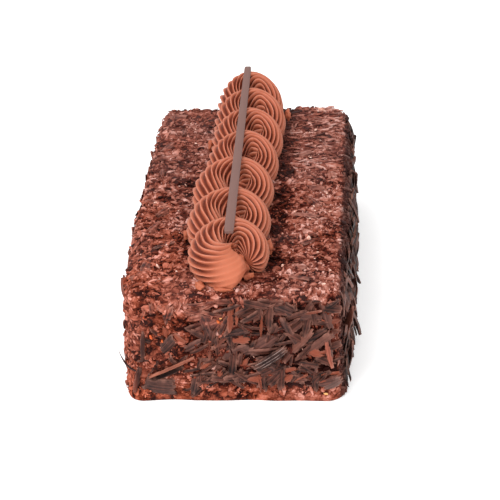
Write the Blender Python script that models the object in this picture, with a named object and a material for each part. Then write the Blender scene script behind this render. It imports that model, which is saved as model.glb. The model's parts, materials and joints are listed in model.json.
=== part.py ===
"""A chocolate loaf cake: a crumb-coated block covered in shaved chocolate, with a piped cream rope and
a chocolate stick on top. The near end of the cake faces -Y, and the origin is under its middle."""
import math
import random

import bmesh
import bpy
from mathutils import Matrix, Vector, noise
from mathutils.bvhtree import BVHTree

# Units: lengths below are in millimetres, and meshes are in metres
MM = 0.001
MERGE_DISTANCE = 0.002

# Loaf
LOAF_LENGTH = 200.0
LOAF_WIDTH = 100.0
LOAF_HEIGHT = 58.0
BASE_FLARE = 1.6
CORNER_RADIUS = 8.0
TOP_EDGE_RADIUS = 5.0
LEFT_BOW = 2.5
RIGHT_BOW = 3.0
BACK_BOW = 3.0
SURFACE_WAVE = 1.5
WAVE_LENGTH = 17.0
WAVE_OFFSET = 31.7
GRID_STEP = 15.0
EDGE_STRIP = 8.0
EDGE_LINE = 3.0
ROW_HALF_WIDTH = 25.0
ROW_MIDDLE_X = -2.8
ROW_FADE = 6.0

# Piped rope of cream, each loop as the x and y of its far arc, its half width and its height. The near
# loop comes first, and was piped last
LOOPS = (
    (-2.4, -65.0, 19.4, 21.0),
    (-4.3, -36.0, 20.5, 21.5),
    (-4.4, -4.0, 20.5, 22.0),
    (-1.6, 24.0, 18.6, 23.0),
    (-0.8, 50.0, 18.8, 23.5),
    (-0.8, 72.5, 19.2, 24.5),
    (-1.8, 90.5, 18.0, 26.0),
)
ROPE_SHARE = 0.51
NEAR_ARC_HEIGHT = 12.0
LAST_LOOP_ADVANCE = 8.0
ADVANCE_EASE = 0.5
CREAM_GAP = 0.3
STAR_TEETH = 16
WIDEST_AT = 0.38
RIDGE_TWIST = 0.65
GROOVE_DEPTH = 1.6
PINCH = 0.86
SECTION_TURN = math.radians(22.5)
LOOP_START = math.radians(-58)
LOOP_END = math.radians(240)
LAST_LOOP_END = math.radians(205)
PRESSED_START = math.radians(215)
PRESSED_END = math.radians(318)
PRESSED_TEETH = 5
PRESSED_RINGS = 5
PRESSED_SIZE = 0.95
PRESSED_TIP = 0.7
TAPER_TURN = math.radians(25)
TIP_SIZE = 0.4
TAIL_START = math.radians(180)
TAIL_END = math.radians(322)
TAIL_FALL = 0.45
TAIL_SPREAD = 1.06
TAIL_TIP = 0.35
TAIL_SMOOTHING = 0.65

# Chocolate stick
STICK_NEAR_Y = -77.5
STICK_FAR_Y = 98.0
STICK_NEAR_X = -1.5
STICK_FAR_X = -3.4
STICK_WIDTH_NEAR = 4.6
STICK_WIDTH_FAR = 3.8
STICK_THICKNESS = 1.8
STICK_SINK = 1.4
STICK_GAP = 0.3

# Shaved chocolate on the near face: x and z of the middle, length, width and turn in degrees
FRONT_SHARDS = (
    (37.5, 29.4, 26.5, 4.6, 45),
    (31.0, 31.5, 22.0, 4.0, 49),
    (18.5, 23.5, 18.5, 5.0, 33),
    (15.5, 32.0, 21.0, 8.0, 38),
    (2.6, 26.5, 15.0, 7.5, 31),
    (20.5, 17.0, 9.5, 5.5, -55),
    (-36.0, 8.5, 15.0, 10.0, -8),
    (-30.5, 31.0, 10.5, 6.5, 52),
    (-19.0, 30.5, 11.0, 4.5, 38),
    (-11.0, 41.5, 12.0, 6.5, -72),
    (-0.5, 37.5, 16.5, 4.2, 14),
    (26.0, 50.0, 12.0, 5.5, -24),
    (35.0, 46.5, 15.0, 4.5, -8),
    (44.0, 45.5, 11.5, 5.0, -75),
    (27.5, 38.5, 20.0, 3.8, -66),
    (45.0, 27.0, 14.5, 3.6, -86),
    (44.5, 11.5, 10.0, 5.0, 18),
    (37.5, 14.5, 13.5, 3.4, 74),
    (28.5, 14.0, 12.0, 6.0, -48),
    (10.0, 14.5, 14.0, 4.0, 9),
    (-10.0, 20.0, 13.0, 5.0, -38),
)

# Shavings of the other faces: how many along and up, length, width, turn with its spread, and lift
SHARD_THICKNESS = 1.3
SHARD_SEED = 31
CELL_SPREAD = 0.3
SIDE_MARGIN = 7.0
TOP_MARGIN = 6.0
FRONT_FILL_WIDTH = 55.0
FRONT_FILL_X = -20.0
SIDE_SHARDS = {
    "right": (11, 3, (11, 19), (3.8, 7.0), (90, 26), (14, 34)),
    "left": (9, 2, (9, 17), (3.8, 7.0), (30, 60), (6, 18)),
    "back": (5, 2, (9, 17), (3.8, 7.0), (40, 60), (6, 18)),
    "front": (3, 2, (7, 11), (3.2, 4.6), (0, 80), (6, 14)),
}
TOP_SHARDS = (12, (8, 14), (2.8, 4.6), (5, 12))
LONG_SHARD = 12.5
FAR_OFF = 40.0
LIFTED_SHARE = 0.55
SUNK_SHARE = 0.55
SMOOTH_ANGLE = math.radians(32)


def clear_scene():
    for item in list(bpy.data.objects):
        bpy.data.objects.remove(item, do_unlink=True)


def paint(name, colour, roughness):
    """A plain material in the piece's own colour, given as linear red, green and blue."""
    material = bpy.data.materials.new(name)
    material.use_nodes = True
    shader = material.node_tree.nodes["Principled BSDF"]
    shader.inputs["Base Color"].default_value = (*colour, 1.0)
    shader.inputs["Roughness"].default_value = roughness
    shader.inputs["Metallic"].default_value = 0.0
    return material


def mesh_object(name, points, faces):
    """An object from points in millimetres and faces with outward normals."""
    mesh = bpy.data.meshes.new(name)
    mesh.from_pydata([Vector(point) * MM for point in points], [], faces)
    shape = bmesh.new()
    shape.from_mesh(mesh)
    bmesh.ops.recalc_face_normals(shape, faces=shape.faces)
    shape.to_mesh(mesh)
    shape.free()
    item = bpy.data.objects.new(name, mesh)
    bpy.context.scene.collection.objects.link(item)
    return item


def combine(item, others, operation, solver="EXACT"):
    """Applies one Boolean of a collection of objects to an object, then removes them."""
    group = bpy.data.collections.new(item.name + "_tools")
    bpy.context.scene.collection.children.link(group)
    for other in others:
        bpy.context.scene.collection.objects.unlink(other)
        group.objects.link(other)
    step = item.modifiers.new("combine", "BOOLEAN")
    step.operation = operation
    step.solver = solver
    step.operand_type = "COLLECTION"
    step.collection = group
    shape = bpy.data.meshes.new_from_object(item.evaluated_get(bpy.context.evaluated_depsgraph_get()))
    item.modifiers.remove(step)
    old = item.data
    item.data = shape
    bpy.data.meshes.remove(old)
    for other in others:
        bpy.data.objects.remove(other, do_unlink=True)
    bpy.data.collections.remove(group)


def drop_small_shells(shape):
    """Deletes every group of faces joined over edges but the largest one."""
    left = set(shape.faces)
    shells = []
    while left:
        shell = set()
        front = [left.pop()]
        while front:
            face = front.pop()
            shell.add(face)
            for edge in face.edges:
                for other in edge.link_faces:
                    if other in left and len(edge.link_faces) == 2:
                        left.remove(other)
                        front.append(other)
        shells.append(shell)
    shells.sort(key=len)
    for shell in shells[:-1]:
        bmesh.ops.delete(shape, geom=list(shell), context="FACES")


def keep_main_shell(item):
    """Drops loose scraps, doubled slivers and the skins of sealed hollows, so that one closed body is
    left."""
    shape = bmesh.new()
    shape.from_mesh(item.data)
    drop_small_shells(shape)
    bmesh.ops.triangulate(shape, faces=shape.faces)
    bmesh.ops.remove_doubles(shape, verts=shape.verts, dist=MERGE_DISTANCE * MM)
    bmesh.ops.dissolve_degenerate(shape, dist=MERGE_DISTANCE * MM, edges=shape.edges)
    drop_small_shells(shape)
    shape.to_mesh(item.data)
    shape.free()


# Cream

def rope_path(turn, loop, advance):
    """Centre of the rope in plan at an angle of its loop: it circles once while it moves to -Y."""
    middle_x, crest_y, half_width, _ = loop
    radius = half_width * (1 - ROPE_SHARE)
    share = (turn - math.pi / 2) / (2 * math.pi)
    eased = share - ADVANCE_EASE * math.sin(2 * math.pi * share) / (2 * math.pi)
    x = middle_x + radius * math.cos(turn)
    y = crest_y - radius * (1 - math.sin(turn)) - advance * eased
    return Vector((x, y, 0))


def rope_frame(turn, loop, advance):
    """Centre, heading and radius of the bend at an angle of the loop."""
    small = 0.01
    before = rope_path(turn - small, loop, advance)
    here = rope_path(turn, loop, advance)
    after = rope_path(turn + small, loop, advance)
    first = (after - before) / (2 * small)
    second = (after - 2 * here + before) / small ** 2
    bend = (first.x * second.y - first.y * second.x) / first.length ** 3
    square_on = turn + math.pi / 2
    heading = math.atan2(first.y, first.x)
    heading += 2 * math.pi * round((square_on - heading) / (2 * math.pi))
    return here, heading, 1 / max(bend, 0.01)


def rope_section(turn, loop, advance, height, size, depth, teeth=STAR_TEETH):
    """One ring of points across the rope. Each tooth of the nozzle draws a ridge, which wanders from
    the outer side over the top to the inner side, because the nozzle doesn't turn with the rope. The
    inner side is pinched towards the middle of the bend, and the underside lies flat on the cake."""
    centre, heading, bend_radius = rope_frame(turn, loop, advance)
    outer = Vector((math.sin(heading), -math.cos(heading), 0))
    reach_out = loop[2] * ROPE_SHARE
    reach_in = min(reach_out, PINCH * bend_radius)
    points = []
    for step in range(2 * teeth):
        angle = RIDGE_TWIST * heading - math.pi * step / teeth
        groove = (step % 2) * depth
        sideways = math.cos(angle) * (reach_out if math.cos(angle) > 0 else reach_in)
        upward = math.sin(angle) * height * (1 - WIDEST_AT)
        trim = 1 - groove / max(math.hypot(sideways, upward), groove + 1)
        point = centre + outer * sideways * trim * size
        z = max(CREAM_GAP, height * WIDEST_AT + upward * trim * size)
        points.append((point.x, point.y, LOAF_HEIGHT + z))
    return points


def rope_piece(name, rings):
    """A closed tube through rings of points, with flat ends and one flat face below."""
    across = len(rings[0])
    points = [point for ring in rings for point in ring]
    faces = []
    for ring in range(len(rings) - 1):
        for step in range(across):
            a = ring * across + step
            b = ring * across + (step + 1) % across
            faces.append((a, b, b + across, a + across))
    faces.append(tuple(range(across)))
    faces.append(tuple(range(len(points) - across, len(points))))
    tube = mesh_object(name, points, faces)
    merge_underside(tube, LOAF_HEIGHT + CREAM_GAP)
    return tube


def merge_underside(item, level):
    """Joins the faces that lie on the level of the cake's top into one."""
    shape = bmesh.new()
    shape.from_mesh(item.data)
    flat = [face for face in shape.faces if all(abs(v.co.z - level * MM) < 0.001 * MM for v in face.verts)]
    bmesh.ops.dissolve_faces(shape, faces=flat, use_verts=True)
    shape.to_mesh(item.data)
    shape.free()


def rope_height(turn, crest_height):
    """The rope is highest on its far arc and is pressed down where the next loop lies over it."""
    far_share = (1 + math.sin(turn)) / 2
    return NEAR_ARC_HEIGHT + (crest_height - NEAR_ARC_HEIGHT) * far_share ** 0.7


def loop_rings(loop, advance, start, end):
    """Rings of one loop, drawn in at both ends so that they finish inside the neighbouring loops."""
    count = round((end - start) / SECTION_TURN)
    rings = []
    for step in range(count + 1):
        turn = start + (end - start) * step / count
        size = min(1.0, TIP_SIZE + min(turn - start, end - turn) / TAPER_TURN)
        rings.append(rope_section(turn, loop, advance, rope_height(turn, loop[3]), size, GROOVE_DEPTH))
    return rings


def pressed_rings(loop, advance):
    """The rope on its way from one loop to the next, pressed low and smooth under the next loop."""
    count = PRESSED_RINGS - 1
    rings = []
    for step in range(PRESSED_RINGS):
        turn = PRESSED_START + (PRESSED_END - PRESSED_START) * step / count
        size = PRESSED_TIP if step in (0, count) else PRESSED_SIZE
        rings.append(rope_section(turn, loop, advance, NEAR_ARC_HEIGHT, size, 0, PRESSED_TEETH))
    return rings


def tail_rings(loop):
    """The end of the rope: it comes round the near side, spreads, flattens and is wiped off smooth."""
    count = round((TAIL_END - TAIL_START) / SECTION_TURN)
    rings = []
    for step in range(count + 1):
        share = step / count
        turn = TAIL_START + (TAIL_END - TAIL_START) * share
        height = rope_height(math.pi, loop[3]) * (1 - TAIL_FALL * share ** 1.5)
        size = min(0.8 + 2.5 * share, TAIL_SPREAD, TAIL_TIP + 2.2 * (1 - share))
        depth = GROOVE_DEPTH * (1 - TAIL_SMOOTHING * share)
        rings.append(rope_section(turn, loop, LAST_LOOP_ADVANCE, height, size, depth))
    return rings


def piped_cream():
    pieces = []
    for index, loop in enumerate(LOOPS):
        advance = LOOPS[index][1] - LOOPS[index - 1][1] if index else LAST_LOOP_ADVANCE
        rings = loop_rings(loop, advance, LOOP_START, LOOP_END if index else LAST_LOOP_END)
        pieces.append(rope_piece(f"loop_{index}", rings))
        if index:
            pieces.append(rope_piece(f"pressed_{index}", pressed_rings(loop, advance)))
    row = rope_piece("piped_cream", tail_rings(LOOPS[0]))
    combine(row, pieces, "UNION")
    keep_main_shell(row)
    return row


# Loaf

def grid_lines(low, high, step, near_edge):
    """Grid lines from low to high, with two more close to each rounded edge that near_edge names."""
    first = low + EDGE_STRIP if near_edge[0] else low
    last = high - EDGE_STRIP if near_edge[1] else high
    count = max(1, round((last - first) / step))
    lines = [first + (last - first) * index / count for index in range(count + 1)]
    if near_edge[0]:
        lines = [low, low + EDGE_LINE] + lines
    if near_edge[1]:
        lines = lines + [high - EDGE_LINE, high]
    return lines


def rounded(point):
    """Moves a point of the plain block onto the block with round corners and a round top edge."""
    x, y, z = point
    inner = Vector((
        max(-LOAF_WIDTH / 2 + CORNER_RADIUS, min(LOAF_WIDTH / 2 - CORNER_RADIUS, x)),
        max(-LOAF_LENGTH / 2 + CORNER_RADIUS, min(LOAF_LENGTH / 2 - CORNER_RADIUS, y))))
    away = Vector((x, y)) - inner
    reach = min(away.length, CORNER_RADIUS)
    level = LOAF_HEIGHT - TOP_EDGE_RADIUS
    if reach > CORNER_RADIUS - TOP_EDGE_RADIUS and z > level:
        over = Vector((reach - CORNER_RADIUS + TOP_EDGE_RADIUS, z - level))
        over *= min(1, TOP_EDGE_RADIUS / over.length)
        reach = CORNER_RADIUS - TOP_EDGE_RADIUS + over.x
        z = level + over.y
    if away.length > 0:
        away = away.normalized() * reach
    return Vector((inner.x + away.x, inner.y + away.y, z))


def settled(point):
    """Gives the block its flared base, its bowed sides and far end, and a slightly wavy surface."""
    across = point.x / (LOAF_WIDTH / 2)
    along = point.y / (LOAF_LENGTH / 2)
    low = 1 - point.z / LOAF_HEIGHT
    side = (RIGHT_BOW if across > 0 else LEFT_BOW) * (1 - along ** 2) * across
    back = BACK_BOW * (1 - across ** 2) * max(0, along)
    moved = point + Vector((across * BASE_FLARE * low + side, along * BASE_FLARE * low + back, 0))
    place = point / WAVE_LENGTH
    wave = Vector([noise.noise(place + Vector((0, 0, WAVE_OFFSET * axis))) for axis in range(3)])
    wave *= SURFACE_WAVE
    clear = max(0, min(1, (abs(point.x - ROW_MIDDLE_X) - ROW_HALF_WIDTH) / ROW_FADE))
    wave.z *= clear if point.z > LOAF_HEIGHT - TOP_EDGE_RADIUS else min(1, 2 * point.z / LOAF_HEIGHT)
    return moved + wave


def loaf_core():
    """The block as one grid over its five rounded faces, with one flat face below."""
    xs = grid_lines(-LOAF_WIDTH / 2, LOAF_WIDTH / 2, GRID_STEP, (True, True))
    ys = grid_lines(-LOAF_LENGTH / 2, LOAF_LENGTH / 2, GRID_STEP, (True, True))
    zs = grid_lines(0, LOAF_HEIGHT, GRID_STEP, (False, True))
    points = []
    index = {}

    def corner(i, j, k):
        if (i, j, k) not in index:
            index[(i, j, k)] = len(points)
            points.append(settled(rounded((xs[i], ys[j], zs[k]))))
        return index[(i, j, k)]

    last_x, last_y, last_z = len(xs) - 1, len(ys) - 1, len(zs) - 1
    faces = []
    for i in range(last_x):
        for j in range(last_y):
            faces.append([corner(i, j, last_z), corner(i + 1, j, last_z),
                          corner(i + 1, j + 1, last_z), corner(i, j + 1, last_z)])
    for k in range(last_z):
        for j in range(last_y):
            for i in (0, last_x):
                faces.append([corner(i, j, k), corner(i, j + 1, k),
                              corner(i, j + 1, k + 1), corner(i, j, k + 1)])
        for i in range(last_x):
            for j in (0, last_y):
                faces.append([corner(i, j, k), corner(i + 1, j, k),
                              corner(i + 1, j, k + 1), corner(i, j, k + 1)])
    rim = [(i, 0) for i in range(last_x)] + [(last_x, j) for j in range(last_y)]
    rim += [(i, last_y) for i in range(last_x, 0, -1)] + [(0, j) for j in range(last_y, 0, -1)]
    for i, j in rim:
        points[corner(i, j, 0)].z = 0
    faces.append([corner(i, j, 0) for i, j in rim])
    return mesh_object("cake", points, faces)


# Shaved chocolate

def shard(name, place, along, out, length, width, bend, draw):
    """A thin bent shaving of three cross-sections, or four if it is long, with ends broken at a slant."""
    across = out.cross(along).normalized()
    shares = (-0.5, -0.18, 0.2, 0.5) if length > LONG_SHARD else (-0.5, 0.05, 0.5)
    ends = (draw.uniform(0.5, 1), draw.uniform(0.3, 1))
    slants = (draw.uniform(-0.3, 0.3) * width, draw.uniform(-0.3, 0.3) * width)
    points = []
    for share in shares:
        half = width / 2 * {-0.5: ends[0], 0.5: ends[1]}.get(share, 1)
        slant = {-0.5: slants[0], 0.5: slants[1]}.get(share, 0)
        middle = place + along * length * share + out * bend * (1 - 4 * share ** 2)
        for side, face in ((-1, 0), (1, 0), (1, 1), (-1, 1)):
            points.append(middle + across * half * side + along * slant * side + out * SHARD_THICKNESS * face)
    last = len(points) - 4
    faces = [(0, 1, 2, 3), (last, last + 1, last + 2, last + 3)]
    for ring in range(len(shares) - 1):
        for step in range(4):
            a = ring * 4 + step
            b = ring * 4 + (step + 1) % 4
            faces.append((a, b, b + 4, a + 4))
    return mesh_object(name, points, faces)


def lay_shard(name, surface, start, out, run, turn, lift, length, width, bend, draw):
    """Lays a shaving on the loaf where a line along -out meets it. Its turn is in the plane of the face
    from the direction run, and one of its ends or sides is lifted."""
    hit, _, _, _ = surface.ray_cast(start * MM, -out)
    along = Matrix.Rotation(turn, 3, out) @ run
    tip = Matrix.Rotation(lift[0], 3, out.cross(along))
    roll = Matrix.Rotation(lift[1], 3, along)
    along, up = tip @ roll @ along, tip @ roll @ out
    rise = LIFTED_SHARE * length / 2 * abs(math.sin(lift[0]))
    place = hit / MM + out * (rise - SUNK_SHARE * SHARD_THICKNESS)
    return shard(name, place, along, up, length, width, bend, draw)


def front_shards(surface, draw):
    out = Vector((0, -1, 0))
    for index, (x, z, length, width, turn) in enumerate(FRONT_SHARDS):
        lift = (math.radians(draw.uniform(-6, 6)), math.radians(draw.uniform(6, 15) * draw.choice((-1, 1))))
        start = Vector((x, -LOAF_LENGTH / 2 - FAR_OFF, z))
        yield lay_shard(f"front_{index}", surface, start, out, Vector((1, 0, 0)),
                        math.radians(turn), lift, length, width, draw.uniform(0, 0.8), draw)


def side_shards(surface, draw):
    """Shavings on the upright faces, one in each cell of a loose grid."""
    sides = {
        "right": (Vector((1, 0, 0)), Vector((0, 1, 0)), LOAF_LENGTH, LOAF_WIDTH / 2),
        "left": (Vector((-1, 0, 0)), Vector((0, -1, 0)), LOAF_LENGTH, LOAF_WIDTH / 2),
        "back": (Vector((0, 1, 0)), Vector((-1, 0, 0)), LOAF_WIDTH, LOAF_LENGTH / 2),
        "front": (Vector((0, -1, 0)), Vector((1, 0, 0)), FRONT_FILL_WIDTH, LOAF_LENGTH / 2),
    }
    for side, (along_count, up_count, lengths, widths, turns, lifts) in SIDE_SHARDS.items():
        out, run, span, reach = sides[side]
        room = span - 2 * SIDE_MARGIN
        middle = FRONT_FILL_X if side == "front" else 0
        for i in range(along_count):
            for j in range(up_count):
                length = draw.uniform(*lengths)
                turn = math.radians(turns[0] + draw.uniform(-1, 1) * turns[1])
                s = middle + ((i + 0.5 + draw.uniform(-CELL_SPREAD, CELL_SPREAD)) / along_count - 0.5) * room
                half_rise = length / 2 * abs(math.sin(turn)) + EDGE_LINE
                z = (j + 0.5 + draw.uniform(-CELL_SPREAD, CELL_SPREAD)) / up_count * LOAF_HEIGHT
                z = max(half_rise, min(LOAF_HEIGHT - half_rise - 1, z))
                start = out * (reach + FAR_OFF) + run * s + Vector((0, 0, z))
                lift = (math.radians(draw.uniform(*lifts) * draw.choice((-1, 1))) * 0.6,
                        math.radians(draw.uniform(*lifts) * draw.choice((-1, 1))))
                yield lay_shard(f"{side}_{i}_{j}", surface, start, out, run, turn, lift, length,
                                draw.uniform(*widths), draw.uniform(0, 1), draw)


def top_shards(surface, draw):
    """Shavings lying on the top, on both sides of the piped row."""
    count, lengths, widths, lifts = TOP_SHARDS
    out = Vector((0, 0, 1))
    for side in (-1, 1):
        for index in range(count):
            length = draw.uniform(*lengths)
            room = LOAF_WIDTH / 2 - ROW_HALF_WIDTH - length / 2 - EDGE_LINE
            x = ROW_MIDDLE_X + side * (ROW_HALF_WIDTH + length / 2 + 1.5 + draw.uniform(0, max(1, room)))
            x = max(-LOAF_WIDTH / 2 + TOP_MARGIN, min(LOAF_WIDTH / 2 - TOP_MARGIN, x))
            share = (index + 0.5 + draw.uniform(-CELL_SPREAD, CELL_SPREAD)) / count - 0.5
            y = share * (LOAF_LENGTH - 2 * EDGE_STRIP)
            lift = (math.radians(draw.uniform(2, 6)),
                    math.radians(draw.uniform(*lifts) * draw.choice((-1, 1))))
            start = Vector((x, y, LOAF_HEIGHT + FAR_OFF))
            yield lay_shard(f"top_{side}_{index}", surface, start, out, Vector((1, 0, 0)),
                            draw.uniform(0, math.pi), lift, length, draw.uniform(*widths),
                            draw.uniform(0, 0.5), draw)


def cake():
    core = loaf_core()
    shape = bmesh.new()
    shape.from_mesh(core.data)
    surface = BVHTree.FromBMesh(shape)
    shape.free()
    draw = random.Random(SHARD_SEED)
    pieces = []
    for face_shards in (front_shards, side_shards, top_shards):
        pieces += list(face_shards(surface, draw))
    combine(core, pieces, "UNION")
    keep_main_shell(core)
    return core


# Stick

def stick(name, spare):
    """A flat bar of tempered chocolate that lies along the crests and is a little narrower far away. The
    spare amount makes it larger all round, for the groove that it presses into the cream."""
    near = Vector((STICK_NEAR_X, STICK_NEAR_Y, LOAF_HEIGHT + LOOPS[0][3] - STICK_SINK))
    far = Vector((STICK_FAR_X, STICK_FAR_Y, LOAF_HEIGHT + LOOPS[-1][3] - STICK_SINK))
    along = (far - near).normalized()
    across = along.cross(Vector((0, 0, 1))).normalized()
    up = across.cross(along)
    low, high = -spare, STICK_THICKNESS + spare
    points = []
    for place, width in ((near - along * spare, STICK_WIDTH_NEAR), (far + along * spare, STICK_WIDTH_FAR)):
        for side, level in ((-1, low), (1, low), (1, high), (-1, high)):
            points.append(place + across * (width / 2 + spare) * side + up * level)
    faces = [(0, 1, 2, 3), (4, 5, 6, 7), (0, 1, 5, 4), (1, 2, 6, 5), (2, 3, 7, 6), (3, 0, 4, 7)]
    return mesh_object(name, points, faces)


def finish(item, material):
    """Gives a finished piece its material and smooth shading with crisp edges."""
    item.data.materials.append(material)
    item.data.shade_smooth()
    item.data.set_sharp_from_angle(angle=SMOOTH_ANGLE)


clear_scene()
finish(cake(), paint("shaved_chocolate_coat", (0.075, 0.026, 0.02), 0.6))
cream = piped_cream()
combine(cream, [stick("stick_groove", STICK_GAP)], "DIFFERENCE")
keep_main_shell(cream)
finish(cream, paint("chocolate_cream", (0.42, 0.12, 0.07), 0.45))
finish(stick("chocolate_stick", 0), paint("tempered_chocolate", (0.2, 0.12, 0.11), 0.5))
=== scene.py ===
"""A chocolate loaf cake: a crumb coat with shaved chocolate, a piped row of cream and a chocolate stick.
The near end of the cake faces -Y. Lengths below are in millimetres, and meshes are in metres."""
import json
import math
import random

import bmesh
import bpy
import numpy as np
from mathutils import Matrix, Vector, noise
from mathutils.bvhtree import BVHTree

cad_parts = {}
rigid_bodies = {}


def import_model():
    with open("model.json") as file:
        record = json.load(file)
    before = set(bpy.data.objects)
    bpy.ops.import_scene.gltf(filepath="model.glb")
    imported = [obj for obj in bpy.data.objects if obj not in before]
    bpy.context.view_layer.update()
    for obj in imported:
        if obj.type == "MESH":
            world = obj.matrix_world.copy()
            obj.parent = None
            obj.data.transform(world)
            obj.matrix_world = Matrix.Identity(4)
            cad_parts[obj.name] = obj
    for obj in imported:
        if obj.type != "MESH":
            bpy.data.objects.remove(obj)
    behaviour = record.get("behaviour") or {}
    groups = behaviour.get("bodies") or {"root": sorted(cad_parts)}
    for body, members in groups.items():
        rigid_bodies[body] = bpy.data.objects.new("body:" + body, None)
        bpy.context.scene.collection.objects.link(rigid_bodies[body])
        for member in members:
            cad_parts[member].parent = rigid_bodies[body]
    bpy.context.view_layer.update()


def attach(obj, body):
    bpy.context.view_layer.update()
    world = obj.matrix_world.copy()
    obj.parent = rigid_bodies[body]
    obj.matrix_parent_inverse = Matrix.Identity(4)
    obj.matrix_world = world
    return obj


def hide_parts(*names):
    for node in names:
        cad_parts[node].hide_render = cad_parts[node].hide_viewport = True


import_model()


# Loaf. The real piece is a block of thin layers and filling, iced all over and pressed into grated
# chocolate, so that only the crumbly coat shows. It is made as one fine grid wrapped over the block,
# with the lumps and pits of the coat raised on it.

MM = 0.001
LOAF_LENGTH = 200.0
LOAF_WIDTH = 100.0
LOAF_HEIGHT = 58.0
BASE_FLARE = 1.6
CORNER_RADIUS = 8.0
TOP_EDGE_RADIUS = 5.0
LEFT_BOW = 2.5
RIGHT_BOW = 3.0
BACK_BOW = 3.0
SURFACE_WAVE = 1.5
WAVE_LENGTH = 17.0
WAVE_OFFSET = 31.7
ROW_HALF_WIDTH = 25.0
ROW_MIDDLE_X = -2.8
ROW_FADE = 6.0
COAT_GRID = 1.0
COAT_LUMPS = ((9.0, 0.8), (3.6, 0.8), (1.8, 0.6))
TOP_BAND = 3.0
LEVEL_BAND = 1.0
COVERED_HALF_WIDTH = 15.0
COVERED_FROM_Y = -86.0
LUMPS_UNDER_CREAM = 0.3
SINK_UNDER_CREAM = 0.5
CLEAR_OF_FLOOR = 2.5
FOOT_HEIGHT = 3.0
LONG_STRIPS_FROM = (18, 25)
LONG_STRIPS_TO = (47, 99)
LOW_FRONT = (("y", -92, -99), ("z", 14, 5))
# Changes of the coat's shade by zones of x, y and z in millimetres: painted shade among the shavings of the
# near face, painted light over the right of the top where the cream's shadow falls, lighter at the foot of
# the near face and along its top edge, a painted shadow along the right of the cream's row, and darker on
# the left of the near face.
SHADED_ZONES = (
    (-0.4, ("y", -97, -100), ("x", -14, 2), ("z", 6, 12), ("z", 56, 50)),
    (0.12, ("x", 12, 30), ("z", 54, 57), ("y", -75, -25)),
    (0.12, *LOW_FRONT),
    (0.05, ("y", -86, -94), ("z", 49, 53)),
    (-0.24, ("x", 13, 16), ("x", 27, 20), ("z", 54, 57), ("y", -84, -76)),
    (-0.08, ("y", -97, -100), ("x", -14, -22), ("z", 10, 16), ("z", 50, 44)),
)
GRATED_GLOSS = 0.05
GRATED_COLOURS = ((0.0, (32, 6, 3)), (0.25, (84, 30, 19)), (0.5, (138, 76, 60)), (0.75, (177, 116, 101)),
                  (1.0, (210, 162, 151)))


def srgb(red, green, blue):
    """A colour as it looks on a screen, from 0 to 255, as the linear values that shaders take."""
    return tuple(((c / 255 + 0.055) / 1.055) ** 2.4 if c > 10 else c / 255 / 12.92
                 for c in (red, green, blue)) + (1.0,)


class Wire:
    """An output of a node, used as a value: an operator on it adds the Math node that works it out."""

    def __init__(self, nodes, socket):
        self.nodes = nodes
        self.socket = socket

    def math(self, operation, *values):
        return self.nodes.add("ShaderNodeMath", {"operation": operation}, dict(enumerate(values)))

    def __add__(self, other):
        return self.math("ADD", self, other)

    def __sub__(self, other):
        return self.math("SUBTRACT", self, other)

    def __rsub__(self, other):
        return self.math("SUBTRACT", other, self)

    def __mul__(self, other):
        return self.math("MULTIPLY", self, other)

    def __truediv__(self, other):
        return self.math("DIVIDE", self, other)

    def __rtruediv__(self, other):
        return self.math("DIVIDE", other, self)

    def __pow__(self, power):
        return self.math("POWER", self, power)

    __radd__ = __add__
    __rmul__ = __mul__

    def sin(self):
        return self.math("SINE", self)

    def cos(self):
        return self.math("COSINE", self)

    def least(self, other):
        return self.math("MINIMUM", self, other)

    def most(self, other):
        return self.math("MAXIMUM", self, other)

    def clamped(self):
        return self.most(0.0).least(1.0)

    def band(self, low, high):
        """0 below low, 1 above high, with a smooth rise between; or falling where low is the larger."""
        return self.nodes.add("ShaderNodeMapRange", {"interpolation_type": "SMOOTHSTEP"},
                              {"Value": self, "From Min": low, "From Max": high})

    def other(self, name):
        """Another output of the same node."""
        return Wire(self.nodes, find(self.socket.node.outputs, name))


def find(sockets, key):
    """A socket in use, by its name or its number."""
    if isinstance(key, int):
        return sockets[key]
    return next(socket for socket in sockets if socket.name == key and socket.enabled)


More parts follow.
